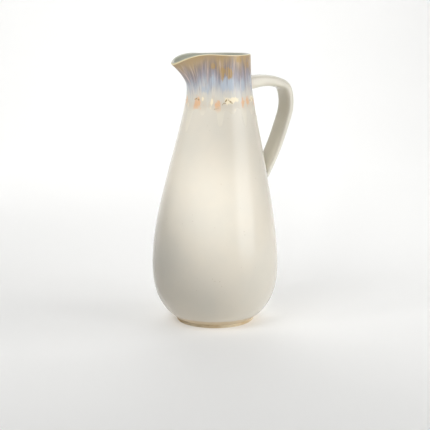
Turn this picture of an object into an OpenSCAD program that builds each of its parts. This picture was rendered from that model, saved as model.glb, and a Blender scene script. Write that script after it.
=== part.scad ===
// Stoneware pitcher: a thrown and leaning pear-shaped wall with a pulled spout, a turned foot,
// a strap handle luted on at the neck and the shoulder, and the glazes fired over them.
// Origin: centre of the foot on the standing plane. +Z up, handle towards +X, spout towards -X.

/* [Body] */
// Height of the rim above the standing plane
height = 290; // [270:1:310]
// Radius of the belly at its widest
belly_r = 68.4; // [64:0.2:72]
// How far the neck leans towards the handle
lean = 6; // [0:0.5:8]
// Thickness of the glazed wall
wall_t = 5; // [4.4:0.1:6]
// Thickness of the glazed wall at the lip
lip_t = 3.4; // [3:0.1:4.4]

/* [Spout and rim] */
// How far the spout's tip stands out from the neck
spout_reach = 25.3; // [18:0.5:28]
// Half-angle of the spout at the rim, in degrees
spout_angle = 24.6; // [20:1:30]
// Half-angle of the throat where the spout leaves the neck, in degrees
throat_angle = 52; // [40:1:60]
// Height of the throat
throat_z = 240; // [225:1:250]
// How far the spout's tip dips below the rim
tip_dip = 9.2; // [5:0.2:10]

/* [Foot] */
// Outer radius of the foot ring
foot_r = 41.9; // [38:0.1:42.4]
// Inner radius of the foot ring
foot_bore_r = 34; // [30:0.5:36]
// Height of the foot ring
foot_h = 4; // [3:0.5:5]
// Depth that the underside is turned away above the foot ring
recess = 2; // [1:0.5:3]
// Thickness of the floor
floor_t = 6; // [5:0.5:8]

/* [Handle] */
// Width of the strap at the neck
strap_w_top = 18.5; // [16:0.5:22]
// Width of the strap at the shoulder
strap_w_end = 25; // [20:0.5:28]
// Thickness of the strap at the neck
strap_t_top = 13.4; // [9:0.2:14]
// Thickness of the strap at the shoulder
strap_t_end = 7; // [6:0.2:10]
// How far the luted clay spreads round each end of the strap
luting = 3; // [2:0.5:6]

/* [Glaze] */
// Thickness of the fired glaze
glaze = 0.5; // [0.4:0.05:0.7]
// Thickness of the second glaze round the neck
collar_t = 0.35; // [0.25:0.05:0.5]
// Height at which the second glaze ends, before its drips
collar_z = 236; // [228:1:244]
// Length of the longest drip
drip = 24; // [10:1:30]

/* [Hidden] */
SIDES = 60;          // points round the body
OUTER_RINGS = 20;    // rings up the outside
INNER_RINGS = 16;    // rings down the inside
LIP_STEPS = 3;       // steps over each half of the rounded lip
STRAP_SIDES = 24;    // points round the strap
STRAP_STEPS = 3;     // rings between two points of the strap's path
CURVED = 96;         // $fn of the turned foot

// Outline of the side: [share of the height, share of the belly's radius].
side = [[0.014, 0.636], [0.048, 0.795], [0.110, 0.939], [0.207, 1.000], [0.362, 0.946],
        [0.534, 0.806], [0.707, 0.640], [0.800, 0.553], [0.883, 0.497], [1.000, 0.474]];
lean_from = 75;      // the neck starts to lean here
lean_to = 255;       // and is upright again from here
rim_tilt = 0.4;      // the rim is higher on the handle side
rim_z = height - 1.1;
shoulder_rise = 1.4; // the rim rises beside the spout
shoulder_at = 37.5;  // this many degrees from the spout's middle
shoulder_angle = 31.5;
dip_angle = 16.3;
pinch = 0.5;         // the neck is drawn in beside the spout
pinch_angle = 20;
flare = 2.1;         // how late the spout turns outwards
lip_r = lip_t / 2;
lip_from = 225;      // the wall thins towards the lip from here
top_s = height - lip_r;
heel_r = belly_r * side[0][1];
floor_z = foot_h + recess + floor_t;
foot_edge = 0.6;     // the foot's outer corners are taken off by this much
bore_edge = 0.8;     // and its inner corner
recess_in = 1;       // the recess narrows by this much above the foot
underside_gap = 0.2; // the underside glaze stops this far from the recess's wall
inside_from = foot_h + 14;   // below this the inside wall rounds into the floor
bowl_r = 27;                 // radius of the floor's flat middle
bowl_w = 31;                 // width of the round from the floor to the wall
bowl_h = 20;                 // and its height
bowl_turns = [45, 58, 74, 90];   // turns of that round at which it has rings
collar_over = 2;             // the second glaze starts this many steps over the lip
collar_clear = 0.25;         // its last level ring is this share of a drip above its end
edge_steps = [0.5, 1];       // rings from there to its edge, as shares of the way
plug_z = 0.9 * height;       // the solid used for cutting closes at this height

// Path of the strap's middle, [distance from the body's axis, height], from neck to shoulder.
strap_path = [[28, 256], [43, 257.5], [58, 259], [75, 257.4], [88.3, 250.4], [91.6, 230],
              [83.5, 204.5], [73.9, 182.2], [62, 160.4], [52, 144], [42, 130]];
strap_power = 3;     // the section is a rounded rectangle of this power
neck_end = 0.9;      // where the path leaves the neck, in points of the path
shoulder_end = 8.6;  // where it meets the shoulder
taper_from = 1;      // the strap's section changes from here
taper_len = 7;       // over this many points of the path
luting_len = 1.1;    // how far the luted clay runs along the path, in points of the path
top_joint_end = 5 / 3;   // the luted clay at the neck ends here, in points of the path
bottom_joint_from = 8;   // and at the shoulder it starts here
edge_mean = 0.35;    // the second glaze ends this share of a drip lower, on average
edge_waves = [[0.4, 8, 20], [0.25, 13, 50]];   // share of a drip, drips round the neck, turn
near_s = 0.2;        // steps for taking a direction: up the side,
near_a = 0.5;        // round it,
near_path = 0.02;    // and along the strap's path

// ---- curves -------------------------------------------------------------------------------
function smooth(x) = let (t = min(max(x, 0), 1)) t * t * (3 - 2 * t);
function bump(x) = exp(-x * x);
function tangent(p, j) = let (a = max(j - 1, 0), b = min(j + 1, len(p) - 1)) (p[b] - p[a]) / (b - a);
function slope(p, j) = let (t = tangent(p, j)) t[1] / t[0];

// Cubic from a to b with end slopes m and n, at t from 0 to 1.
function cubic(a, b, m, n, t) = (2 * t ^ 3 - 3 * t ^ 2 + 1) * a + (t ^ 3 - 2 * t ^ 2 + t) * m
    + (3 * t ^ 2 - 2 * t ^ 3) * b + (t ^ 3 - t ^ 2) * n;

// Height of the smooth curve through the points p, at x.
function curve(p, x) = let (
        i = min(max(len([for (q = p) if (q[0] <= x) 1]) - 1, 0), len(p) - 2),
        h = p[i + 1][0] - p[i][0])
    cubic(p[i][1], p[i + 1][1], slope(p, i) * h, slope(p, i + 1) * h, (x - p[i][0]) / h);

// Point of the smooth curve through the points p, at s counted in points.
function along(p, s) = let (i = min(max(floor(s), 0), len(p) - 2))
    cubic(p[i], p[i + 1], tangent(p, i), tangent(p, i + 1), s - i);

// ---- the glazed outer surface ---------------------------------------------------------------
// s is the height before the rim is shaped, a the angle from the spout round to the handle.
function rim_at(a) = rim_z - tip_dip * bump(a / dip_angle)
    + shoulder_rise * bump((abs(a) - shoulder_at) / shoulder_angle) - rim_tilt * cos(a);
function rise(s) = min(max((s - throat_z) / (height - throat_z), 0), 1);
function side_z(s, a) = s + rise(s) * (rim_at(a) - height);
function side_r(s, a) = let (u = rise(s), w = throat_angle + (spout_angle - throat_angle) * u)
    belly_r * curve(side, side_z(s, a) / height) + spout_reach * u ^ flare * bump(a / w)
    - pinch * u ^ 2 * bump((abs(a) - shoulder_at) / pinch_angle);
function lean_at(z) = lean * smooth((z - lean_from) / (lean_to - lean_from));
function side_pt(s, a) = let (z = side_z(s, a), r = side_r(s, a))
    [lean_at(z) - r * cos(a), -r * sin(a), z];
function unit(v) = v / norm(v);
function up_dir(s, a) = unit(side_pt(s + near_s, a) - side_pt(s - near_s, a));
function out_dir(s, a) = unit(cross(side_pt(s, a + near_a) - side_pt(s, a - near_a), up_dir(s, a)));

angles = [for (i = [0:SIDES - 1]) -180 + i * 360 / SIDES];
function disc_ring(r, z) = [for (a = angles) [-r * cos(a), -r * sin(a), z]];
// The surface at a depth below the glazed outside.
function deep_ring(s, depth) = [for (a = angles) side_pt(s, a) - depth * out_dir(s, a)];
// The rounded lip: turn runs from 0 outside to 180 inside.
function lip_ring(turn, depth) = [for (a = angles) let (n = out_dir(top_s, a))
    side_pt(top_s, a) - lip_r * n + (lip_r - depth) * (cos(turn) * n + sin(turn) * up_dir(top_s, a))];

// Heights of n rings after the first height, closer together at both ends.
function spread(from, to, n) = [for (k = [1:n]) from + (to - from) * (1 - cos(180 * k / n)) / 2];
function reversed(list) = [for (i = [len(list) - 1:-1:0]) list[i]];
function tail(list) = [for (i = [1:len(list) - 1]) list[i]];
function outside(depth) = [for (s = spread(foot_h, top_s, OUTER_RINGS)) deep_ring(s, depth)];
// Thickness of the glazed wall at a height.
function wall_at(s) = wall_t - (wall_t - lip_t) * smooth((s - lip_from) / (top_s - lip_from));
function lip_turn(k) = 90 * k / LIP_STEPS;
// Rings over the lip after the first turn.
function lip(from, to, depth) = let (n = LIP_STEPS * ceil(abs(to - from) / 90))
    [for (k = [1:n]) lip_ring(from + (to - from) * k / n, depth)];
// Down the inside below the lip, round the bottom and in over the floor.
function inside(depth) = concat(
    [for (s = spread(top_s, inside_from, INNER_RINGS)) deep_ring(s, wall_at(s) - depth)],
    [for (t = bowl_turns) disc_ring(bowl_r + (bowl_w + depth) * cos(t),
        floor_z + glaze - depth + (bowl_h + depth) * (1 - sin(t)))]);

// Where the second glaze ends, with its drips.
function wave(w, a) = w[0] * sin(w[1] * a + w[2]);
function collar_end(a) = collar_z - drip * (edge_mean + wave(edge_waves[0], a) + wave(edge_waves[1], a));
// The second glaze's rings, which share the outside's down to the drips.
collar_rings = [for (s = reversed(spread(foot_h, top_s, OUTER_RINGS)))
    if (s > collar_z + collar_clear * drip) s];
function collar(depth) = concat(
    [for (s = collar_rings) deep_ring(s, depth)],
    [for (t = edge_steps) let (low = collar_rings[len(collar_rings) - 1])
        [for (a = angles) let (s = low + (collar_end(a) - low) * t)
            side_pt(s, a) - depth * out_dir(s, a)]]);

// ---- solids from rings ------------------------------------------------------------------------
// Two triangles between ring k, ring l and neighbours i, i + 1 on them. The diagonal starts on the
// lower ring, so that two skins through the same rings have the same edges.
function patch(rings, k, l, i) = let (n = len(rings[0]), j = (i + 1) % n,
        a = k * n + i, b = l * n + i, c = l * n + j, d = k * n + j)
    rings[k][0][2] < rings[l][0][2] ? [[a, b, c], [a, c, d]] : [[a, b, d], [b, c, d]];
function band(rings, k, l) = [for (i = [0:len(rings[0]) - 1], t = patch(rings, k, l, i)) t];
function skin(rings) = [for (k = [0:len(rings) - 2], t = band(rings, k, k + 1)) t];
function joined(rings) = [for (r = rings, p = r) p];

// A solid through a row of rings, closed by a flat face at each end.
module loft(rings) {
    n = len(rings[0]);
    m = len(rings);
    polyhedron(joined(rings), concat(skin(rings), [[for (i = [0:n - 1]) i]],
        [[for (i = [n - 1:-1:0]) (m - 1) * n + i]]), convexity = 8);
}

// A skin through a row of rings that comes back to its first ring.
module closed_loft(rings) {
    polyhedron(joined(rings), concat(skin(rings), band(rings, len(rings) - 1, 0)), convexity = 8);
}

// Everything inside the outer surface at a depth below the glaze.
module body_solid(depth) {
    loft(concat([disc_ring(heel_r - depth, foot_h)], outside(depth), [disc_ring(bowl_r / 2, plug_z)]));
}

// ---- strap ----------------------------------------------------------------------------------------
strap_last = len(strap_path) - 1;
// Thickness of the luted clay over the strap, thick at the wall and smoothed out along the strap.
function luting_at(s) = let (d = max(s - neck_end, 0), e = max(shoulder_end - s, 0))
    luting * (max(1 - d / luting_len, 0) ^ 2 + max(1 - e / luting_len, 0) ^ 2);
function power_cos(a) = sign(cos(a)) * abs(cos(a)) ^ (2 / strap_power);
function power_sin(a) = sign(sin(a)) * abs(sin(a)) ^ (2 / strap_power);
function strap_ring(s, extra) = let (
        u = min(max((s - taper_from) / taper_len, 0), 1),
        w = (strap_w_top + (strap_w_end - strap_w_top) * u) / 2 + extra,
        t = (strap_t_end + (strap_t_top - strap_t_end) * (1 - u) ^ 2) / 2 + extra,
        c = along(strap_path, s),
        d = unit(along(strap_path, min(s + near_path, strap_last))
            - along(strap_path, max(s - near_path, 0))))
    [for (i = [0:STRAP_SIDES - 1]) let (
            a = i * 360 / STRAP_SIDES, y = w * power_cos(a), v = t * power_sin(a))
        [c[0] - d[1] * v, y, c[1] + d[0] * v]];

// Rings of the strap between two places on its path, with the luted clay and some extra on it.
function strap_rings(from, to, luted, extra) =
    [for (k = [from * STRAP_STEPS:to * STRAP_STEPS]) let (s = k / STRAP_STEPS)
        strap_ring(s, extra + (luted ? luting_at(s) : 0))];
module strap_solid(luted, extra) { loft(strap_rings(0, strap_last, luted, extra)); }

// ---- sub-parts --------------------------------------------------------------------------------------
module vessel_wall() {
    color([0.80, 0.72, 0.60])
    loft(concat(
        [disc_ring(foot_bore_r - recess_in, foot_h + recess), disc_ring(foot_bore_r, foot_h),
         disc_ring(heel_r - glaze, foot_h)],
        outside(glaze), lip(0, 180, glaze), inside(glaze)));
}

// The foot, turned out of the same clay and left bare, with a fine groove under the glaze.
module foot_ring() {
    color([0.84, 0.76, 0.61])
    rotate_extrude($fn = CURVED)
    polygon([[foot_bore_r, bore_edge], [foot_bore_r + bore_edge, 0], [foot_r - foot_edge, 0],
             [foot_r, foot_edge], [foot_r + foot_edge, foot_h - foot_edge], [foot_r, foot_h],
             [foot_bore_r, foot_h]]);
}

module handle_strap() {
    color([0.80, 0.72, 0.60])
    difference() {
        strap_solid(false, 0);
        body_solid(glaze);
    }
}

// Soft clay pressed round an end of the strap and smoothed on to the wall.
module luted_clay(from, to) {
    difference() {
        closed_loft(concat(strap_rings(from, to, true, 0), reversed(strap_rings(from, to, false, 0))));
        body_solid(glaze);
    }
}
module handle_top_joint() { color([0.76, 0.68, 0.56]) luted_clay(0, top_joint_end); }
module handle_bottom_joint() { color([0.76, 0.68, 0.56]) luted_clay(bottom_joint_from, strap_last); }

module outside_glaze() {
    color([0.88, 0.86, 0.81])
    difference() {
        closed_loft(concat([disc_ring(heel_r, foot_h)], outside(0), lip(0, 90, 0),
            [lip_ring(90, glaze)], lip(90, 0, glaze), tail(reversed(outside(glaze))),
            [disc_ring(heel_r - glaze, foot_h)]));
        strap_solid(true, 0);
    }
}

module inside_glaze() {
    color([0.80, 0.81, 0.76])
    loft(concat(reversed(inside(glaze)), [lip_ring(180, glaze)], lip(180, 90, glaze),
        [lip_ring(90, 0)], lip(90, 180, 0), inside(0)));
}

module underside_glaze() {
    color([0.80, 0.72, 0.56])
    translate([0, 0, foot_h + recess - glaze])
    cylinder(r = foot_bore_r - recess_in - underside_gap, h = glaze, $fn = CURVED);
}

// The second glaze, poured round the rim so that it runs down the neck in drips.
module collar_glaze() {
    color([0.66, 0.68, 0.76])
    difference() {
        closed_loft(concat(
            [for (k = [collar_over:-1:0]) lip_ring(lip_turn(k), -collar_t * (1 - k / collar_over))],
            tail(collar(-collar_t)), reversed(collar(0)),
            [for (k = [1:collar_over - 1]) lip_ring(lip_turn(k), 0)]));
        strap_solid(true, glaze);
    }
}

module handle_glaze() {
    color([0.89, 0.87, 0.83])
    difference() {
        closed_loft(concat(strap_rings(0, strap_last, true, glaze),
            reversed(strap_rings(0, strap_last, true, 0))));
        body_solid(0);
    }
}

vessel_wall();
foot_ring();
handle_strap();
handle_top_joint();
handle_bottom_joint();
outside_glaze();
inside_glaze();
underside_glaze();
collar_glaze();
handle_glaze();
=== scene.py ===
import math

import bmesh
import bpy
import numpy as np
from mathutils import Matrix, Vector


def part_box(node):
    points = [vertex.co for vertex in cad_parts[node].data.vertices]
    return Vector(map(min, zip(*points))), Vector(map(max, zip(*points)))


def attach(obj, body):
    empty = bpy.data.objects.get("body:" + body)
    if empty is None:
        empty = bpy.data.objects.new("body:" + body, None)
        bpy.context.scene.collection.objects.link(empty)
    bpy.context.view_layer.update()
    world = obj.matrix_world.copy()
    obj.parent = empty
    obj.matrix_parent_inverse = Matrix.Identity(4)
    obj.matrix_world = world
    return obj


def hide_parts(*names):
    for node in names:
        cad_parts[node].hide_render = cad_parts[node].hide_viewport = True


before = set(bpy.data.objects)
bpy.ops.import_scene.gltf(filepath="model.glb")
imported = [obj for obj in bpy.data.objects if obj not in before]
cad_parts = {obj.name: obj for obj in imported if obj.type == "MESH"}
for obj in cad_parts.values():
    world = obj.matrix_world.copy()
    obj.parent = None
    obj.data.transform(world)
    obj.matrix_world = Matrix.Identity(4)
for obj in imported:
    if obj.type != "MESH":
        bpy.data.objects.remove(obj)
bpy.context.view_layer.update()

# ---- Thrown wall -----------------------------------------------------------------------------
# One piece of stoneware clay, thrown on the wheel, leaned towards the handle while soft, with the
# spout pulled out of the rim between two fingers. It is wholly covered by the glazes.
MM = 0.001
foot_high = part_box("foot_ring")[1]
glaze_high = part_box("outside_glaze")[1]
HEIGHT = 290 * MM
BELLY_R = glaze_high.y
FOOT_H = foot_high.z
LEAN = 6 * MM
WALL_T, LIP_T = 5 * MM, 3.4 * MM
GLAZE_T = 0.5 * MM
LIP_R = LIP_T / 2
LIP_FROM = 225 * MM
BOWL_FROM = 18 * MM
TOP = HEIGHT - LIP_R
SPIN_STEPS, BOWL_STEPS = 180, 12

# Outline of the side: share of the height, share of the belly's radius.
SIDE = [(0.014, 0.636), (0.048, 0.795), (0.110, 0.939), (0.207, 1.000), (0.362, 0.946),
        (0.534, 0.806), (0.707, 0.640), (0.800, 0.553), (0.883, 0.497), (1.000, 0.474)]
HEEL_R = BELLY_R * SIDE[0][1]
LEAN_FROM, LEAN_TO = 75 * MM, 255 * MM
THROAT_Z = 240 * MM
THROAT_ANGLE, SPOUT_ANGLE = 52.0, 24.6
SPOUT_REACH, SPOUT_POWER = 25.3 * MM, 2.1
RIM_Z, RIM_TILT = 288.9 * MM, 0.4 * MM
TIP_DIP, DIP_ANGLE = 9.2 * MM, 16.3
SHOULDER_RISE, SHOULDER_AT, SHOULDER_ANGLE = 1.4 * MM, 37.5, 31.5
PINCH, PINCH_ANGLE = 0.5 * MM, 20.0


def smooth(x):
    t = np.clip(x, 0, 1)
    return t * t * (3 - 2 * t)


def bump(x):
    return np.exp(-x * x)


def curve(points, x):
    """Height at x of the smooth curve through the points."""
    p = np.array(points, float)
    last = len(p) - 1
    i = np.clip(np.searchsorted(p[:, 0], x, side="right") - 1, 0, last - 1)
    before = np.maximum(np.arange(last + 1) - 1, 0)
    after = np.minimum(np.arange(last + 1) + 1, last)
    slope = (p[after, 1] - p[before, 1]) / (p[after, 0] - p[before, 0])
    h = p[i + 1, 0] - p[i, 0]
    t = (x - p[i, 0]) / h
    return ((2 * t**3 - 3 * t**2 + 1) * p[i, 1] + (t**3 - 2 * t**2 + t) * h * slope[i]
            + (3 * t**2 - 2 * t**3) * p[i + 1, 1] + (t**3 - t**2) * h * slope[i + 1])


def rim_at(a):
    """Height of the rim at a degrees from the spout round to the handle."""
    return (RIM_Z - TIP_DIP * bump(a / DIP_ANGLE) - RIM_TILT * np.cos(np.radians(a))
            + SHOULDER_RISE * bump((abs(a) - SHOULDER_AT) / SHOULDER_ANGLE))


def lean_at(z):
    """How far the soft clay was leaned towards the handle at a height."""
    return LEAN * smooth((z - LEAN_FROM) / (LEAN_TO - LEAN_FROM))


def outer_point(s, a):
    """The glazed outside, s up the wall before the rim is shaped and a degrees from the spout."""
    u = np.clip((s - THROAT_Z) / (HEIGHT - THROAT_Z), 0, 1)
    z = s + u * (rim_at(a) - HEIGHT)
    width = THROAT_ANGLE + (SPOUT_ANGLE - THROAT_ANGLE) * u
    r = (BELLY_R * curve(SIDE, z / HEIGHT) + SPOUT_REACH * u**SPOUT_POWER * bump(a / width)
         - PINCH * u**2 * bump((abs(a) - SHOULDER_AT) / PINCH_ANGLE))
    t = np.radians(a)
    return np.stack([lean_at(z) - r * np.cos(t), -r * np.sin(t), z], -1)


def unit(v):
    return v / np.linalg.norm(v, axis=-1, keepdims=True)


STEP_UP, STEP_ROUND = 0.2 * MM, 0.5     # small steps, in metres and degrees, that give the slope


def shaped(s, a, depth):
    """A point at a depth below the glazed outside."""
    up = outer_point(s + STEP_UP, a) - outer_point(s - STEP_UP, a)
    across = outer_point(s, a + STEP_ROUND) - outer_point(s, a - STEP_ROUND)
    return outer_point(s, a) - unit(np.cross(across, up)) * np.asarray(depth)[..., None]


def spread(start, end, n):
    """n heights from start to end, closer together at both ends."""
    return [start + (end - start) * (1 - math.cos(math.pi * k / n)) / 2 for k in range(n + 1)]


def up_the_wall(depth, low=FOOT_H, n=90):
    return [("wall", s, depth) for s in spread(low, TOP, n)]


def over_the_lip(start, end, depth, n=12):
    turns = [math.radians(start + (end - start) * k / n) for k in range(n + 1)]
    r = LIP_R - depth
    return [("wall", TOP + r * math.sin(t), LIP_R - r * math.cos(t)) for t in turns]


def down_the_inside(depth, n=70):
    """Down the inside of the wall, which thins towards the lip."""
    return [("wall", s, WALL_T - (WALL_T - LIP_T) * float(smooth((s - LIP_FROM) / (TOP - LIP_FROM))) - depth)
            for s in spread(TOP, BOWL_FROM, n)]


def over_the_floor(depth):
    """From the wall's inside round the bottom to the middle of the floor."""
    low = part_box("inside_glaze")[0].z + GLAZE_T - depth
    bowl_r, bowl_w, bowl_h = 27 * MM, 31 * MM + depth, 20 * MM + depth
    turns = [math.radians(45 + 45 * k / BOWL_STEPS) for k in range(BOWL_STEPS + 1)]
    bowl = [("disc", bowl_r + bowl_w * math.cos(t), low + bowl_h * (1 - math.sin(t))) for t in turns]
    return bowl + [("disc", bowl_r / 2, low), ("disc", 0, low)]


SHARP = math.radians(50)    # edges that turn more than this stay crisp
MERGE = 0.001 * MM


def fire(name, bm, material, node):
    """The finished mesh as a piece that rides on the body and stands for its CAD node."""
    mesh = bpy.data.meshes.new(name)
    for face in bm.faces:
        face.smooth = True
    for edge in bm.edges:
        edge.smooth = edge.calc_face_angle(0) < SHARP
    bm.to_mesh(mesh)
    bm.free()
    mesh.materials.append(material)
    piece = bpy.data.objects.new(name, mesh)
    bpy.context.scene.collection.objects.link(piece)
    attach(piece, "root")
    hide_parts(node)


WHEEL_R = 35 * MM      # radius of the plain cylinder that patterns on the glaze are laid out on


def thrown(line, steps=SPIN_STEPS, run=None, paint=None):
    """A line of places on the wall or on flat discs, spun round like clay on a wheel, then shaped.

    run changes the height and depth of each point as glaze runs, and paint names the masks to keep.
    """
    bm = bmesh.new()
    height = bm.verts.layers.float.new("height")
    depth = bm.verts.layers.float.new("depth")
    wheel = bm.verts.layers.float_vector.new("wheel")
    for name in paint or {}:
        bm.verts.layers.float.new(name)
    verts = []
    for kind, across, up in line:
        if kind == "disc":
            v = bm.verts.new((across, 0, up))
            v[height] = -1
        else:
            v = bm.verts.new((HEEL_R - up, 0, across))
            v[height], v[depth] = across, up
        verts.append(v)
    edges = [bm.edges.new(pair) for pair in zip(verts, verts[1:])]
    bmesh.ops.spin(bm, geom=verts + edges, axis=(0, 0, 1), cent=(0, 0, 0), angle=2 * math.pi,
                   steps=steps, use_merge=True)
    wall = [v for v in bm.verts if v[height] >= 0]
    s = np.array([v[height] for v in wall])
    a = np.array([math.degrees(math.atan2(-v.co.y, -v.co.x)) for v in wall])
    deep = np.array([v[depth] for v in wall])
    if run:
        s, deep = run(s, a, deep)
    for v, co, up, turn in zip(wall, shaped(s, a, deep), s, np.radians(a)):
        v.co = co
        v[wheel] = (-WHEEL_R * math.cos(turn), -WHEEL_R * math.sin(turn), up)
    for name, mask in (paint or {}).items():
        layer = bm.verts.layers.float[name]
        for v, value in zip(wall, mask(s, a)):
            v[layer] = value
    bmesh.ops.remove_doubles(bm, verts=bm.verts, dist=MERGE)
    bmesh.ops.recalc_face_normals(bm, faces=bm.faces)
    return bm


def closed(line):
    return line + line[:1]


def srgb(r, g, b):
    """A colour as a potter's chart gives it, 0 to 255, turned to linear light."""
    return tuple(((c / 255 + 0.055) / 1.055) ** 2.4 if c > 10 else c / 255 / 12.92
                 for c in (r, g, b)) + (1.0,)


def add(tree, kind, inputs=None, **settings):
    """A node with its settings, and its inputs set to values or linked to other sockets."""
    node = tree.nodes.new("ShaderNode" + kind)
    for name, value in settings.items():
        setattr(node, name, value)
    for name, value in (inputs or {}).items():
        socket = node.inputs[name]
        if isinstance(value, bpy.types.NodeSocket):
            tree.links.new(value, socket)
        else:
            socket.default_value = value
    return node


def math_node(tree, operation, a, b=0.0):
    return add(tree, "Math", {0: a, 1: b}, operation=operation).outputs[0]


def give(tree, node, sockets):
    """Sockets linked to a node's inputs by name."""
    for name, socket in sockets.items():
        tree.links.new(socket, node.inputs[name])


def bumped(tree, height, strength, distance, over=None):
    """The normal of a surface raised by a height, over an earlier normal where there is one."""
    inputs = {"Height": height, "Strength": strength, "Distance": distance}
    if over is not None:
        inputs["Normal"] = over
    return add(tree, "Bump", inputs).outputs["Normal"]


def mixed(tree, factor, a, b):
    node = add(tree, "Mix", data_type="RGBA", clamp_factor=True)
    for socket, value in zip((node.inputs[0], node.inputs[6], node.inputs[7]), (factor, a, b)):
        if isinstance(value, bpy.types.NodeSocket):
            tree.links.new(value, socket)
        else:
            socket.default_value = value
    return node.outputs[2]


def noise(tree, where, scale, detail=3.0, rough=0.55):
    return add(tree, "TexNoise", {"Vector": where, "Scale": scale, "Detail": detail,
                                  "Roughness": rough}).outputs["Fac"]


def between(tree, value, low, high):
    """0 below low and 1 above high, eased."""
    return add(tree, "MapRange", {"Value": value, "From Min": low, "From Max": high},
               interpolation_type="SMOOTHSTEP").outputs["Result"]


def ramp(tree, value, stops):
    node = add(tree, "ValToRGB", {"Fac": value})
    band = node.color_ramp
    while len(band.elements) < len(stops):
        band.elements.new(0.5)
    for element, (stop, colour) in zip(band.elements, stops):
        element.position = stop
        element.color = colour
    return node.outputs["Color"]


def material(name, roughness, specular=0.5):
    """A named material, its tree and its shader, with the values that are the same all over."""
    made = bpy.data.materials.new(name)
    made.use_nodes = True
    shader = made.node_tree.nodes["Principled BSDF"]
    shader.inputs["Roughness"].default_value = roughness
    shader.inputs["Specular IOR Level"].default_value = specular
    return made, made.node_tree, shader


def group(name, inputs, outputs):
    """An empty node group with the inputs and outputs named."""
    tree = bpy.data.node_groups.new(name, "ShaderNodeTree")
    for way, sockets in (("INPUT", inputs), ("OUTPUT", outputs)):
        for socket, kind in sockets.items():
            tree.interface.new_socket(socket, in_out=way, socket_type="NodeSocket" + kind)
    return tree, tree.nodes.new("NodeGroupInput"), tree.nodes.new("NodeGroupOutput")


def place_group(tree, groups_tree, inputs=None):
    node = add(tree, "Group", node_tree=groups_tree)
    for name, value in (inputs or {}).items():
        if isinstance(value, bpy.types.NodeSocket):
            tree.links.new(value, node.inputs[name])
        else:
            node.inputs[name].default_value = value
    return node.outputs


# Grog: the burnt specks and the grain of a buff stoneware clay.
grog, grog_in, grog_out = group("grog", {"Clay": "Color", "Grain": "Float"},
                                {"Color": "Color", "Roughness": "Float", "Normal": "Vector"})
spot = add(grog, "TexCoord").outputs["Object"]
grain = noise(grog, spot, 900, 4)
speck = add(grog, "TexVoronoi", {"Vector": spot, "Scale": 420}).outputs["Distance"]
speckled = math_node(grog, "MULTIPLY", math_node(grog, "LESS_THAN", speck, 0.16),
                     between(grog, noise(grog, spot, 130), 0.5, 0.6))
tone = mixed(grog, between(grog, noise(grog, spot, 30), 0.35, 0.65), grog_in.outputs["Clay"],
             srgb(196, 170, 128))
give(grog, grog_out, {
    "Color": mixed(grog, math_node(grog, "MULTIPLY", speckled, 0.45), tone, srgb(112, 82, 52)),
    "Roughness": math_node(grog, "ADD", math_node(grog, "MULTIPLY", grain, 0.25), 0.55),
    "Normal": bumped(grog, grain, grog_in.outputs["Grain"], 0.15 * MM)})


def clay(name, colour, grain_depth):
    made, tree, shader = material(name, 0.7, 0.3)
    out = place_group(tree, grog, {"Clay": colour, "Grain": grain_depth})
    give(tree, shader, {"Base Color": out["Color"], "Roughness": out["Roughness"], "Normal": out["Normal"]})
    return made


stoneware = clay("buff_stoneware", srgb(206, 184, 146), 0.5)
under_low, under_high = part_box("underside_glaze")
underside = [("disc", 0, under_high.z), ("disc", under_high.x, under_high.z),
             ("disc", foot_high.x - 8 * MM, FOOT_H), ("disc", HEEL_R - GLAZE_T, FOOT_H)]
fire("thrown_wall",
     thrown(underside + up_the_wall(GLAZE_T)[1:] + over_the_lip(0, 180, GLAZE_T, 16)[1:]
            + down_the_inside(GLAZE_T)[1:] + over_the_floor(GLAZE_T)),
     stoneware, "vessel_wall")


# ---- Foot ------------------------------------------------------------------------------------
# The ring that the pitcher stands on, turned with a loop tool out of the same clay when it was
# leather hard, and wiped clean of glaze so that it doesn't stick to the kiln shelf.
FOOT_R = foot_high.x - 0.6 * MM
FOOT_BORE = 34 * MM

foot_line = [("disc", FOOT_BORE, FOOT_H), ("disc", FOOT_BORE, 0.3 * MM),
             ("disc", FOOT_BORE + 0.8 * MM, 0), ("disc", FOOT_R - 0.5 * MM, 0),
             ("disc", FOOT_R, 0.5 * MM), ("disc", foot_high.x, FOOT_H - 0.8 * MM),
             ("disc", FOOT_R + 0.1 * MM, FOOT_H), ("disc", FOOT_BORE, FOOT_H)]
foot = thrown(foot_line)
corners = [e for e in foot.edges if e.calc_face_angle(0) > math.radians(20)]
bmesh.ops.bevel(foot, geom=corners, offset=0.25 * MM, offset_type="OFFSET", affect="EDGES",
                segments=3, profile=0.5, material=-1, clamp_overlap=True)
bare_foot, tree, shader = material("turned_bare_clay", 0.75, 0.3)
out = place_group(tree, grog, {"Clay": srgb(226, 212, 184), "Grain": 0.6})
height_of = add(tree, "SeparateXYZ", {"Vector": add(tree, "TexCoord").outputs["Object"]}).outputs["Z"]
turning = add(tree, "TexWave", {"Vector": add(tree, "CombineXYZ", {"Z": height_of}).outputs[0],
                                "Scale": 260.0, "Distortion": 1.5}, bands_direction="Z").outputs["Fac"]
give(tree, shader, {
    "Base Color": mixed(tree, math_node(tree, "MULTIPLY", turning, 0.2), out["Color"], srgb(196, 170, 132)),
    "Roughness": out["Roughness"],
    "Normal": bumped(tree, turning, 0.3, 0.1 * MM, out["Normal"])})
fire("turned_foot", foot, bare_foot, "foot_ring")


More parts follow.
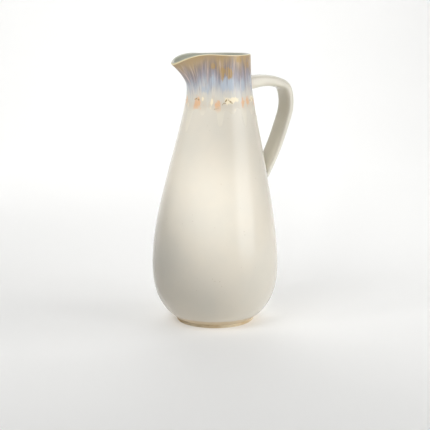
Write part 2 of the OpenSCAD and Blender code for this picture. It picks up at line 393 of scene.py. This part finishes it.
# ---- Strap -----------------------------------------------------------------------------------
# A strap of clay pulled from a lump with wet hands, thick and narrow where it leaves the neck,
# thinner and wider at the shoulder, with softly squared edges. Its ends butt on to the wall.
STRAP_PATH = np.array([(28, 256), (43, 257.5), (58, 259), (75, 257.4), (88.3, 250.4), (91.6, 230),
                       (83.5, 204.5), (73.9, 182.2), (62, 160.4), (52, 144), (42, 130)]) * MM
STRAP_LAST = len(STRAP_PATH) - 1
STRAP_W = (18.5 * MM, 25 * MM)
STRAP_T = (13.4 * MM, 7 * MM)
TAPER_FROM, TAPER_LEN = 1, 7    # where the strap changes size, in points of its path
STRAP_POWER = 3
STRAP_SIDES = 64
turns = np.arange(STRAP_SIDES) * 2 * math.pi / STRAP_SIDES


def path_at(s):
    """Point and direction of the strap's middle, s counted in points of its path."""
    i = np.clip(np.floor(s).astype(int), 0, STRAP_LAST - 1)
    before, after = np.maximum(i - 1, 0), np.minimum(i + 2, STRAP_LAST)
    t = (s - i)[:, None]
    a, b = STRAP_PATH[i], STRAP_PATH[i + 1]
    m = (b - STRAP_PATH[before]) / (i + 1 - before)[:, None]
    n = (STRAP_PATH[after] - a) / (after - i)[:, None]
    point = ((2 * t**3 - 3 * t**2 + 1) * a + (t**3 - 2 * t**2 + t) * m
             + (3 * t**2 - 2 * t**3) * b + (t**3 - t**2) * n)
    way = ((6 * t**2 - 6 * t) * a + (3 * t**2 - 4 * t + 1) * m
           + (6 * t - 6 * t**2) * b + (3 * t**2 - 2 * t) * n)
    return point, unit(way)


def strap_points(s, extra):
    """One point for each turn round the strap, each at its own s along the path."""
    u = np.clip(s - TAPER_FROM, 0, TAPER_LEN) / TAPER_LEN
    half_w = (STRAP_W[0] + (STRAP_W[1] - STRAP_W[0]) * u) / 2 + extra
    half_t = (STRAP_T[1] + (STRAP_T[0] - STRAP_T[1]) * (1 - u) ** 2) / 2 + extra
    soft = 2 / STRAP_POWER
    y = half_w * np.sign(np.cos(turns)) * np.abs(np.cos(turns)) ** soft
    v = half_t * np.sign(np.sin(turns)) * np.abs(np.sin(turns)) ** soft
    point, way = path_at(s)
    return np.stack([point[:, 0] - way[:, 1] * v, y, point[:, 1] + way[:, 0] * v], -1)


def gap(p):
    """How far points on the handle's side stand off the glazed wall."""
    return np.hypot(p[:, 0] - lean_at(p[:, 2]), p[:, 1]) - BELLY_R * curve(SIDE, p[:, 2] / HEIGHT)


HALVINGS = 30


def reach(extra, wanted, inner, outer):
    """Where along the path each point of the section stands off the wall by the wanted gap."""
    low, high = np.full(STRAP_SIDES, float(inner)), np.full(STRAP_SIDES, float(outer))
    for _ in range(HALVINGS):
        middle = (low + high) / 2
        near = gap(strap_points(middle, extra)) < wanted
        low, high = np.where(near, middle, low), np.where(near, high, middle)
    return (low + high) / 2


NECK_ENDS, SHOULDER_ENDS = (0, 3), (STRAP_LAST, 6.5)
LUTING = 3 * MM


def end_rings(ends, extra, luting, start, stop, n=10):
    """Rings from the wall out over the luted clay: a quarter round from start to stop degrees."""
    rings = []
    for k in range(n + 1):
        turn = math.radians(start + (stop - start) * k / n)
        spread_out = extra + luting * (1 - math.cos(turn))
        off = luting * (1 - math.sin(turn))
        rings.append(strap_points(reach(spread_out, off, *ends), spread_out))
    return rings


def strap_rings(extra, luting, sunk, n=70):
    """The whole strap from its end on the neck to its end on the shoulder, sunk under the glaze."""
    ends = []
    for side in (NECK_ENDS, SHOULDER_ENDS):
        buried = strap_points(reach(extra + luting, -sunk, *side), extra + luting)
        ends.append([buried] + (end_rings(side, extra, luting, 90, 0) if luting else []))
    first, last = reach(extra, luting, *NECK_ENDS), reach(extra, luting, *SHOULDER_ENDS)
    middle = [strap_points(first + (last - first) * k / n, extra) for k in range(1, n)]
    return ends[0] + middle + ends[1][::-1]


def wrapped(rings, around_too=False):
    """A sheet of clay wrapped into a tube through the rings, closed at its ends or on to itself."""
    rings = rings + rings[:1] if around_too else rings
    rows, columns = len(rings), len(rings[0]) + 1
    bm = bmesh.new()
    bmesh.ops.create_grid(bm, x_segments=columns - 1, y_segments=rows - 1, size=1)
    for v in bm.verts:
        i = round((v.co.y + 1) / 2 * (rows - 1))
        j = round((v.co.x + 1) / 2 * (columns - 1)) % (columns - 1)
        v.co = rings[i][j]
    bmesh.ops.remove_doubles(bm, verts=bm.verts, dist=MERGE / 2)
    if not around_too:
        bmesh.ops.holes_fill(bm, edges=[e for e in bm.edges if e.is_boundary])
    bmesh.ops.recalc_face_normals(bm, faces=bm.faces)
    return bm


fire("pulled_strap", wrapped(strap_rings(0, 0, GLAZE_T)), stoneware, "handle_strap")


# ---- Luted joints ----------------------------------------------------------------------------
# Each end of the strap was scored, stuck on with slip and sealed with a thin roll of soft clay,
# which a finger smoothed into a small round all the way round the strap.
FEATHER = 15
for name, node, side in (("neck_joint", "handle_top_joint", NECK_ENDS),
                         ("shoulder_joint", "handle_bottom_joint", SHOULDER_ENDS)):
    over = end_rings(side, 0, LUTING, FEATHER, 90)
    foot_out = strap_points(reach(LUTING, -GLAZE_T, *side), LUTING)
    foot_in = strap_points(reach(0, -GLAZE_T, *side), 0)
    top_in = strap_points(reach(0, LUTING * (1 - math.sin(math.radians(FEATHER))), *side), 0)
    fire(name, wrapped(over + [foot_out, foot_in, top_in], around_too=True), stoneware, node)


# ---- Outside glaze ---------------------------------------------------------------------------
# A glossy, warm off-white glass half a millimetre thick, poured over the whole outside and up to
# the crest of the lip. It thins out and breaks to amber where it stops above the foot.
def mapped(tree, where, scale):
    """The coordinates stretched by a scale for each axis."""
    return add(tree, "Mapping", {"Vector": where, "Scale": scale}).outputs["Vector"]


def attribute(tree, name):
    return add(tree, "Attribute", attribute_name=name).outputs


pale, pale_in, pale_out = group("pale_glaze", {"Glaze": "Color", "Cool": "Color"},
                                {"Color": "Color", "Roughness": "Float", "Normal": "Vector"})
spot = add(pale, "TexCoord").outputs["Object"]
cloud = noise(pale, spot, 16, 3)
tone = mixed(pale, between(pale, cloud, 0.35, 0.68), pale_in.outputs["Glaze"], pale_in.outputs["Cool"])
iron = add(pale, "TexVoronoi", {"Vector": spot, "Scale": 260}).outputs["Distance"]
iron = math_node(pale, "MULTIPLY", math_node(pale, "LESS_THAN", iron, 0.10),
                 between(pale, noise(pale, spot, 90), 0.56, 0.62))
wavy = bumped(pale, noise(pale, spot, 28, 1), 0.5, 0.5 * MM)
give(pale, pale_out, {
    "Color": mixed(pale, math_node(pale, "MULTIPLY", iron, 0.5), tone, srgb(150, 128, 98)),
    "Roughness": math_node(pale, "ADD", math_node(pale, "MULTIPLY", noise(pale, spot, 60), 0.08), 0.08),
    "Normal": bumped(pale, noise(pale, spot, 420, 2), 0.25, 0.03 * MM, wavy)})

OFF_WHITE, COOL_WHITE = srgb(216, 209, 195), srgb(211, 206, 194)
# The cream used along the crest of the lip is a painted highlight where the rounded lip catches the light, as
# well as the glaze breaking thin over the edge.
AMBER, CREST_HIGHLIGHT_AND_BREAK, LINER = srgb(206, 186, 154), srgb(226, 212, 172), srgb(186, 186, 172)
HEEL_THIN = (9 * MM, 11.5 * MM)     # the glaze is amber below the first height, full above the second
EDGE_LOW, EDGE_HIGH = FOOT_H + 0.1 * MM, FOOT_H + 0.25 * MM     # its lower edge, rounded

outside_glaze, tree, shader = material("off_white_glaze", 0.12)
out = place_group(tree, pale, {"Glaze": OFF_WHITE, "Cool": COOL_WHITE})
up = attribute(tree, "height")["Fac"]
wandering = math_node(tree, "ADD", up, math_node(tree, "MULTIPLY", noise(
    tree, add(tree, "TexCoord").outputs["Object"], 90), 2.5 * MM))
thin = between(tree, wandering, HEEL_THIN[1], HEEL_THIN[0])
heel = mixed(tree, thin, out["Color"], AMBER)
# Cream along the crest of the lip: painted highlight, and the glaze breaking thin there.
crest = mixed(tree, between(tree, up, HEIGHT - 1.0 * MM, HEIGHT - 0.3 * MM), heel, CREST_HIGHLIGHT_AND_BREAK)
crest = mixed(tree, between(tree, up, HEIGHT - 0.12 * MM, HEIGHT - 0.04 * MM), crest, LINER)
give(tree, shader, {"Base Color": crest, "Roughness": out["Roughness"], "Normal": out["Normal"]})

edge = [("wall", EDGE_LOW, GLAZE_T * part) for part in (0.85, 0.5, 0.15)]
fire("poured_outside",
     thrown(closed(edge + up_the_wall(0, EDGE_HIGH) + over_the_lip(0, 90, 0)[1:]
                   + over_the_lip(90, 0, GLAZE_T) + up_the_wall(GLAZE_T, EDGE_HIGH)[-2::-1])),
     outside_glaze, "outside_glaze")


# ---- Inside glaze ----------------------------------------------------------------------------
# The liner: a pale grey-green glass swilled round inside and poured out over the spout, so that it
# covers the floor, the wall and the inner half of the lip.
inside_glaze, tree, shader = material("grey_green_liner", 0.14)
out = place_group(tree, pale, {"Glaze": srgb(208, 211, 200), "Cool": srgb(200, 206, 197)})
up = attribute(tree, "height")["Fac"]
run_off = mixed(tree, between(tree, up, HEIGHT - 14 * MM, HEIGHT - 2 * MM), out["Color"], LINER)
give(tree, shader, {"Base Color": run_off, "Roughness": out["Roughness"], "Normal": out["Normal"]})
fire("swilled_inside",
     thrown(over_the_floor(GLAZE_T)[::-1] + down_the_inside(GLAZE_T)[::-1]
            + over_the_lip(180, 90, GLAZE_T)[1:] + over_the_lip(90, 180, 0)
            + down_the_inside(0)[1:] + over_the_floor(0)),
     inside_glaze, "inside_glaze")


# ---- Underside glaze -------------------------------------------------------------------------
# A thin brushed layer of the same glass inside the foot ring, so thin that it fired amber.
amber_glaze, tree, shader = material("brushed_amber_glaze", 0.2)
spot = add(tree, "TexCoord").outputs["Object"]
out = place_group(tree, pale, {"Glaze": srgb(206, 180, 138), "Cool": srgb(188, 158, 112)})
strokes = noise(tree, mapped(tree, spot, (40, 400, 40)), 1, 3)
give(tree, shader, {
    "Base Color": mixed(tree, between(tree, strokes, 0.42, 0.62), out["Color"], srgb(222, 206, 172)),
    "Roughness": out["Roughness"],
    "Normal": bumped(tree, strokes, 0.4, 0.1 * MM)})
SOFT_EDGE, DISC_STEPS = 0.12 * MM, 120
disc = thrown([("disc", 0, under_low.z), ("disc", under_high.x - SOFT_EDGE, under_low.z),
               ("disc", under_high.x, under_low.z + SOFT_EDGE), ("disc", under_high.x, under_high.z),
               ("disc", 0, under_high.z)], DISC_STEPS)
fire("brushed_underside", disc, amber_glaze, "underside_glaze")


# ---- Handle glaze ----------------------------------------------------------------------------
# The same off-white glass round the strap and its joints. It takes a blush from the neck's second
# glaze where it runs on to it.
SUNK, HANDLE_STEPS = 0.05 * MM, 90
BLUSH_REACH, BLUSH_ABOVE = 5 * MM, STRAP_PATH[8][1]
outer = strap_rings(GLAZE_T, LUTING, SUNK, HANDLE_STEPS)
inner = strap_rings(0, LUTING, SUNK, HANDLE_STEPS)
dip = wrapped(outer + inner[::-1], around_too=True)
blush = dip.verts.layers.float.new("blush")
for v in dip.verts:
    near = gap(np.array([v.co]))[0]
    v[blush] = float(1 - smooth(near / BLUSH_REACH)) if v.co.z > BLUSH_ABOVE else 0

handle_glaze, tree, shader = material("handle_off_white_glaze", 0.12)
out = place_group(tree, pale, {"Glaze": srgb(213, 208, 194), "Cool": srgb(208, 204, 190)})
warm = math_node(tree, "MULTIPLY", attribute(tree, "blush")["Fac"], 0.75)
give(tree, shader, {"Base Color": mixed(tree, warm, out["Color"], srgb(206, 190, 178)),
                    "Roughness": out["Roughness"], "Normal": out["Normal"]})
fire("dipped_handle", dip, handle_glaze, "handle_glaze")


# ---- Second glaze round the neck -------------------------------------------------------------
# A reactive glaze poured over the first one round the rim. It is amber where it is thin at the
# rim, breaks to mauve and blue as it thickens, runs down in streaks, leaves rust and cream crystals
# along its old edge, and ends in pale drips with a bead at the tip. A cream line along the crest
# of the lip is a painted highlight as well as the glaze breaking thin there, and two of the cream
# marks are painted glints.
COLLAR_T = 0.35 * MM
COLLAR_LOW, COLLAR_FREE = 236 * MM, 252 * MM
COLLAR_TURN, CREST_STEPS, FULL_AFTER = 60, 8, 3     # degrees over the crest, steps, steps to full thickness
COLLAR_SUNK = 0.03 * MM
THICKENS_FROM, THICKENS_OVER = 232 * MM, 20 * MM
EDGE_ROUND = 1.6 * MM
ARC = 0.62 * MM         # one degree round the neck

# Drips: degrees from the spout, height of the tip, half its width in degrees.
DRIPS = [(4, 209, 6), (31, 227, 5), (60, 216, 5), (80, 229, 6), (101, 215, 4.5), (122, 226, 5),
         (146, 219, 5.5), (171, 226, 6), (-20, 226, 5), (-43, 213, 5), (-68, 223, 6), (-92, 210, 5.5),
         (-118, 225, 5), (-141, 214, 6), (-165, 222, 5)]
# Rust and cream crystals: degrees, height, half the width in degrees, half the height. The first
# two cream marks are painted glints, highlights of small bumps painted as colour, not crystals.
RUST = [(18.5, 237.5, 8.5, 10), (55, 237, 6.5, 7), (100, 240, 4, 6), (112, 241, 5, 5), (139, 238, 8, 7),
        (168, 240, 7, 6), (-14, 241, 5, 6), (-38, 238, 8, 8), (-74, 239, 6, 7), (-104, 240, 8, 6),
        (-131, 238, 6, 7), (-160, 241, 7, 5)]
# Cream crystals; the first two marks are painted glints.
CREAM_AND_GLINTS = [(46, 241, 2.2, 3.6), (43, 233, 2.6, 4.6), (73, 242, 9, 4.5), (86, 243, 6, 3), (84, 232.5, 1.5, 1.8),
         (29, 244, 3, 2.5), (-5, 236, 2, 4), (-24, 243, 7, 3), (-52, 234, 2, 4), (-60, 242, 8, 4),
         (-88, 240, 2, 4), (-116, 243, 7, 4), (-146, 236, 2, 4), (126, 243, 8, 4), (153, 235, 2, 4),
         (-176, 242, 7, 4)]
# Ochre pools where the glaze is thin and pale blue arches where it is thick, in the same form.
OCHRE = [(70, 273.5, 11, 4.5), (76, 269, 5, 5), (64, 268, 3, 6), (47.5, 278, 7, 4), (94, 285, 8, 4),
         (118, 279, 7, 4), (152, 275, 11, 5), (-26, 277, 9, 4), (-62, 274, 11, 5), (-98, 279, 8, 4),
         (-135, 275, 11, 5), (-172, 278, 8, 4)]
ARCH = [(71, 264, 8, 5), (66, 258, 6, 6), (79, 258, 6, 7), (47, 263, 6, 8), (104, 258, 6, 7), (33, 254, 8, 5),
        (132, 262, 8, 7), (163, 260, 7, 8), (-12, 258, 6, 7), (-45, 262, 8, 7), (-83, 260, 8, 8),
        (-118, 263, 9, 6), (-150, 259, 7, 8)]
# Fine dark lines in the crystals: points in degrees and heights.
VEINS = [[(66, 239.6), (71, 243.6), (80, 239.6)], [(64, 238.4), (68, 240.2)],
         [(13, 243), (17, 244.6), (22, 242.6)],
         [(51, 233.6), (56, 234.8)], [(-30, 242), (-25, 244.5), (-18, 241)], [(-78, 236), (-73, 237.4)],
         [(-110, 242), (-104, 244.4), (-97, 241)], [(120, 241), (126, 244.6), (134, 240.4)],
         [(-66, 240.4), (-60, 244), (-54, 240.6)], [(164, 242), (169, 243.6), (175, 241)]]


def apart(a, centre):
    """Degrees from a centre, the short way round."""
    return (a - centre + 180) % 360 - 180


def drip_line(a):
    """Height at which the second glaze ends."""
    line = COLLAR_LOW - (3 + 1.5 * np.sin(np.radians(7 * a + 20)) + np.sin(np.radians(16 * a))) * MM
    low = line
    for centre, tip, half in DRIPS:
        low = low - np.maximum(line - tip * MM, 0) * np.exp(-np.abs(apart(a, centre) / half) ** 4)
    return low


def collar_run(s, a, depth):
    """The lower edge drawn down into the drips, thinner below and beaded at each tip."""
    low = drip_line(a)
    pulled = np.clip((COLLAR_FREE - s) / (COLLAR_FREE - COLLAR_LOW), 0, 1)
    s = s + (low - COLLAR_LOW) * pulled
    above = s - low
    round_off = np.sqrt(1 - (1 - np.clip(above / EDGE_ROUND, 0, 1)) ** 2)
    body = 0.35 + 0.65 * smooth((s - THICKENS_FROM) / THICKENS_OVER)
    bead = sum(0.9 * bump(apart(a, centre) / (0.6 * half)) * bump((s - (tip + 3) * MM) / (2.6 * MM))
               for centre, tip, half in DRIPS)
    return s, np.where(depth < 0, depth * round_off * (body + bead), depth)


def spots(marks):
    """A mask with a soft round spot at each mark."""
    def mask(s, a):
        return np.clip(sum(bump(apart(a, c) / w) * bump((s / MM - z) / h) for c, z, w, h in marks), 0, 1)
    return mask


def veins(s, a):
    """1 on the fine dark lines, falling to 0 within a millimetre."""
    nearest = np.full(s.shape, 1.0)
    for line in VEINS:
        for (a0, z0), (a1, z1) in zip(line, line[1:]):
            across, up = (a1 - a0) * ARC, (z1 - z0) * MM
            x, y = apart(a, a0) * ARC, s - z0 * MM
            t = np.clip((x * across + y * up) / (across**2 + up**2), 0, 1)
            nearest = np.minimum(nearest, np.hypot(x - t * across, y - t * up))
    return bump(nearest / (0.95 * MM))


reactive, reactive_in, reactive_out = group(
    "reactive_glaze", {"Pale": "Color", "Flow": "Vector", "Rust": "Float", "Cream": "Float", "Veins": "Float",
                      "Ochre": "Float", "Arch": "Float"},
    {"Color": "Color", "Normal": "Vector"})
flow = reactive_in.outputs["Flow"]
up = add(reactive, "SeparateXYZ", {"Vector": flow}).outputs["Z"]
wide = noise(reactive, mapped(reactive, flow, (1, 1, 0.10)), 150, 3)
fine = noise(reactive, mapped(reactive, flow, (1, 1, 0.05)), 420, 4, 0.65)
hair = noise(reactive, mapped(reactive, flow, (1, 1, 0.04)), 1100, 2)


def swayed(value, strength):
    """The height pushed up and down by a streak."""
    return math_node(reactive, "MULTIPLY", math_node(reactive, "SUBTRACT", value, 0.5), strength * MM)


run_up = math_node(reactive, "ADD", up, math_node(reactive, "ADD", swayed(wide, 30), math_node(
    reactive, "ADD", swayed(fine, 18), swayed(hair, 5))))
share = add(reactive, "MapRange", {"Value": run_up, "From Min": 240 * MM,
                                   "From Max": 289 * MM}).outputs["Result"]
bands = ramp(reactive, share, [
    (0.00, srgb(206, 198, 184)), (0.12, srgb(206, 202, 191)), (0.25, srgb(198, 196, 189)),
    (0.36, srgb(177, 180, 184)), (0.47, srgb(157, 161, 169)), (0.58, srgb(147, 143, 147)),
    (0.69, srgb(144, 135, 131)), (0.80, srgb(154, 138, 122)), (0.90, srgb(170, 149, 120)),
    (1.00, srgb(172, 149, 114))])


def window(low, high, soft=5):
    """1 between two heights, with soft ends."""
    return math_node(reactive, "MULTIPLY", between(reactive, up, (low - soft) * MM, (low + soft) * MM),
                     between(reactive, up, (high + soft) * MM, (high - soft) * MM))


def laid_over(colour, mask, strength, tint):
    """A tint laid over the colour where the mask is."""
    return mixed(reactive, math_node(reactive, "MULTIPLY", mask, strength), colour, tint)


def ragged(name, grain, reach):
    """One of the painted masks, with an edge that wanders along a grain."""
    push = math_node(reactive, "MULTIPLY", math_node(reactive, "SUBTRACT", grain, 0.5), reach)
    return between(reactive, math_node(reactive, "ADD", reactive_in.outputs[name], push), 0.3, 0.8)


def streaked(name):
    """One of the painted masks, with streaked edges and split by fine hairs."""
    return math_node(reactive, "MULTIPLY", ragged(name, fine, 2.4), between(reactive, hair, 0.3, 0.55))


glass = laid_over(bands, streaked("Arch"), 0.9, srgb(170, 181, 193))
glass = laid_over(glass, streaked("Ochre"), 1.1, srgb(170, 142, 94))
glass = laid_over(glass, math_node(reactive, "MULTIPLY", between(reactive, fine, 0.56, 0.68),
                                   window(252, 285)), 0.5, srgb(200, 184, 178))
glass = laid_over(glass, math_node(reactive, "MULTIPLY", between(reactive, fine, 0.43, 0.32),
                                   window(254, 284)), 0.6, srgb(122, 108, 112))
glass = laid_over(glass, math_node(reactive, "MULTIPLY", between(reactive, hair, 0.52, 0.66),
                                   window(246, 282)), 0.32, srgb(200, 186, 184))
glass = laid_over(glass, math_node(reactive, "MULTIPLY", between(reactive, hair, 0.47, 0.34),
                                   window(250, 280)), 0.4, srgb(116, 106, 122))
crystal = noise(reactive, mapped(reactive, flow, (1, 1, 0.45)), 420, 4, 0.6)
glass = laid_over(glass, ragged("Rust", crystal, 2.2), 0.85, srgb(220, 176, 136))
# Cream crystals, and two painted glints where small bumps catch the light.
glass = laid_over(glass, ragged("Cream", crystal, 1.6), 0.85, srgb(238, 226, 196))
vein = math_node(reactive, "MULTIPLY", between(reactive, reactive_in.outputs["Veins"], 0.2, 0.95),
                 between(reactive, noise(reactive, flow, 800, 1), 0.42, 0.58))
glass = laid_over(glass, vein, 1.1, srgb(146, 124, 82))
glass = mixed(reactive, between(reactive, up, 238 * MM, 228 * MM), glass, reactive_in.outputs["Pale"])
# At the crest of the lip the colour turns cream: a painted highlight, and the glaze breaking thin there.
give(reactive, reactive_out, {
    "Color": mixed(reactive, between(reactive, up, HEIGHT - 1.3 * MM, HEIGHT - 0.6 * MM), glass, CREST_HIGHLIGHT_AND_BREAK),
    "Normal": bumped(reactive, fine, 0.35, 0.12 * MM)})

collar_glaze, tree, shader = material("reactive_neck_glaze", 0.1)
base = place_group(tree, pale, {"Glaze": srgb(221, 214, 199), "Cool": srgb(216, 211, 197)})
# The cream mask holds the cream crystals and two painted glints.
masks = {"rust": spots(RUST), "cream": spots(CREAM_AND_GLINTS), "veins": veins,
         "ochre": spots(OCHRE), "arch": spots(ARCH)}
painted = {name.capitalize(): attribute(tree, name)["Fac"] for name in masks}
out = place_group(tree, reactive, {"Pale": base["Color"], "Flow": attribute(tree, "wheel")["Vector"],
                                   **painted})
give(tree, shader, {"Base Color": out["Color"], "Roughness": base["Roughness"], "Normal": out["Normal"]})

lip = []
for k, (kind, s, depth) in enumerate(over_the_lip(COLLAR_TURN, 0, 0, CREST_STEPS)):
    turn = math.radians(COLLAR_TURN * (1 - k / CREST_STEPS))
    thick = COLLAR_T * min(k / FULL_AFTER, 1)
    lip.append((kind, s + thick * math.sin(turn), depth - thick * math.cos(turn)))
rows = spread(COLLAR_FREE, TOP, 44)[::-1][1:] + spread(COLLAR_LOW, COLLAR_FREE, 34)[-2::-1]
down = [("wall", s, -COLLAR_T) for s in rows]
back = [("wall", s, COLLAR_SUNK) for s in rows[::-1]] + over_the_lip(0, COLLAR_TURN, COLLAR_SUNK, CREST_STEPS)
fire("poured_collar", thrown(closed(lip + down + back), 2 * SPIN_STEPS, collar_run, masks),
     collar_glaze, "collar_glaze")


# ---- Studio ----------------------------------------------------------------------------------
# A pale paper floor that sweeps up into a backdrop, soft area lights and spots, and the camera.
# Some lights fall on the paper only, or pass the pitcher without a shadow.
paper, tree, shader = material("studio_paper", 0.6, 0.2)
shader.inputs["Base Color"].default_value = (0.86, 0.86, 0.85, 1)
FLOOR_HALF, FLOOR_FRONT, SWEEP_Y, SWEEP_R, SWEEP_TOP = 2.5, -3.0, 1.1, 0.6, 2.6
SWEEP_STEPS = 16
CAMERA_TURN = math.radians(-31)
sweep = bmesh.new()
line = [sweep.verts.new((-FLOOR_HALF, FLOOR_FRONT, 0))]
for k in range(SWEEP_STEPS + 1):
    turn = math.radians(90 * k / SWEEP_STEPS)
    back, up = SWEEP_Y + SWEEP_R * math.sin(turn), SWEEP_R * (1 - math.cos(turn))
    line.append(sweep.verts.new((-FLOOR_HALF, back, up)))
line.append(sweep.verts.new((-FLOOR_HALF, SWEEP_Y + SWEEP_R, SWEEP_TOP)))
edges = [sweep.edges.new(pair) for pair in zip(line, line[1:])]
made = bmesh.ops.extrude_edge_only(sweep, edges=edges)["geom"]
far_side = [v for v in made if isinstance(v, bmesh.types.BMVert)]
bmesh.ops.translate(sweep, vec=(2 * FLOOR_HALF, 0, 0), verts=far_side)
bmesh.ops.rotate(sweep, verts=sweep.verts, cent=(0, 0, 0), matrix=Matrix.Rotation(CAMERA_TURN, 3, "Z"))
bmesh.ops.recalc_face_normals(sweep, faces=sweep.faces)
mesh = bpy.data.meshes.new("studio_sweep")
for face in sweep.faces:
    face.smooth = True
sweep.to_mesh(mesh)
sweep.free()
mesh.materials.append(paper)
backdrop = bpy.data.objects.new("studio_sweep", mesh)
bpy.context.scene.collection.objects.link(backdrop)
backdrop_only = bpy.data.collections.new("backdrop_only")
backdrop_only.objects.link(backdrop)


MIDDLE = (0, 0, 0.15)


def place(azimuth, elevation, distance, target=MIDDLE):
    """A place seen from the object: degrees right of the camera's direction, degrees up, metres."""
    turn, rise = CAMERA_TURN + math.radians(azimuth), math.radians(elevation)
    return Vector(target) + distance * Vector((math.sin(turn) * math.cos(rise),
                                               -math.cos(turn) * math.cos(rise), math.sin(rise)))


def hang(name, lamp, where, target):
    """The lamp hung at a place and turned towards its target."""
    light = bpy.data.objects.new(name, lamp)
    light.location = where
    light.rotation_euler = (light.location - Vector(target)).to_track_quat("Z", "Y").to_euler()
    bpy.context.scene.collection.objects.link(light)
    return light


def panel(name, width, height, power, where, target, colour=(1, 1, 1)):
    lamp = bpy.data.lights.new(name, "AREA")
    lamp.shape = "RECTANGLE"
    lamp.size, lamp.size_y = width, height
    lamp.energy = power
    lamp.color = colour
    light = hang(name, lamp, where, target)
    light.visible_camera = False
    return light


def soft_light(name, azimuth, elevation, distance, width, height, power, target=MIDDLE):
    """A panel that lights the glaze but isn't mirrored in it."""
    light = panel(name, width, height, power, place(azimuth, elevation, distance, target), target)
    light.visible_glossy = False
    return light


def spot_light(name, azimuth, elevation, distance, width, power, target):
    lamp = bpy.data.lights.new(name, "SPOT")
    lamp.energy = power
    lamp.spot_size, lamp.spot_blend = math.radians(width), 1
    lamp.shadow_soft_size = 0.05
    light = hang(name, lamp, place(azimuth, elevation, distance, target), target)
    light.visible_glossy = False
    return light


def backdrop_light(name, side, power):
    """A panel above and behind the pitcher, for one side of the backdrop, that casts no shadow of it."""
    right = Vector((math.cos(CAMERA_TURN), math.sin(CAMERA_TURN), 0))
    away = Vector((-math.sin(CAMERA_TURN), math.cos(CAMERA_TURN), 0))
    where = right * side / 2 + away * 0.6 + Vector((0, 0, 2.2))
    light = panel(name, 0.8, 0.8, power, where, right * side + away * 1.9 + Vector((0, 0, 1.3)))
    light.visible_glossy = False
    light.light_linking.blocker_collection = backdrop_only


COOL_LIGHT = (0.93, 0.97, 1)
soft_light("right_front_light", 30, 10, 1.3, 0.4, 0.4, 0.9)
soft_light("right_light", 60, 15, 1.2, 0.4, 0.4, 3.4)
soft_light("right_side_light", 90, 12, 1.2, 0.5, 0.5, 5.1)
mirrored = panel("right_softbox", 0.52, 1.01, 3.6, place(60, 26, 0.75), MIDDLE, COOL_LIGHT)
mirrored.visible_diffuse = False
spot_light("belly_spot", -5, 8, 1.3, 9, 48, (0, 0, 0.115))
spot_light("glow_spot", -2, 8, 1.3, 5, 12, (0, 0, 0.152))
spot_light("left_spot", -20, 20, 1.3, 10, 11, (0, 0, 0.2))
spot_light("far_left_spot", -50, 15, 1.3, 10, 8, (0, 0, 0.2))
spot_light("left_edge_spot", -70, 15, 1.3, 12, 29, (0, 0, 0.2))
spot_light("neck_left_spot", -15, 15, 1.3, 5, 30, (0, 0, 0.26))
spot_light("neck_spot", 22, 15, 1.3, 5, 30, (0, 0, 0.27))
spot_light("handle_spot", 40, 5, 1.3, 6, 17, (0.08, 0, 0.245))
backdrop_light("backdrop_left", -0.5, 39)
backdrop_light("backdrop_right", 0.5, 14)
# These two light the paper only.
for light in (soft_light("floor_front", -30, 50, 1.2, 0.5, 0.5, 3.0, target=(0, 0, 0)),
              spot_light("floor_left", -58, 31, 1.3, 45, 11, (-0.14, 0.05, 0))):
    light.light_linking.receiver_collection = backdrop_only

world = bpy.data.worlds.new("studio")
world.use_nodes = True
world.node_tree.nodes["Background"].inputs["Color"].default_value = (1, 0.99, 0.98, 1)
world.node_tree.nodes["Background"].inputs["Strength"].default_value = 0.05
bpy.context.scene.world = world
bpy.context.scene.view_settings.view_transform = "Standard"

CAMERA_AWAY, CAMERA_UP, CAMERA_PITCH = 1.1838, 0.3417, 10.82
CAMERA_LENS, CAMERA_SENSOR = 92.77, 36      # millimetres
camera_data = bpy.data.cameras.new("camera")
camera_data.lens, camera_data.sensor_width = CAMERA_LENS, CAMERA_SENSOR
camera = bpy.data.objects.new("camera", camera_data)
camera.location = (math.sin(CAMERA_TURN) * CAMERA_AWAY, -math.cos(CAMERA_TURN) * CAMERA_AWAY, CAMERA_UP)
camera.rotation_euler = (math.radians(90 - CAMERA_PITCH), 0, CAMERA_TURN)
bpy.context.scene.collection.objects.link(camera)
bpy.context.scene.camera = camera
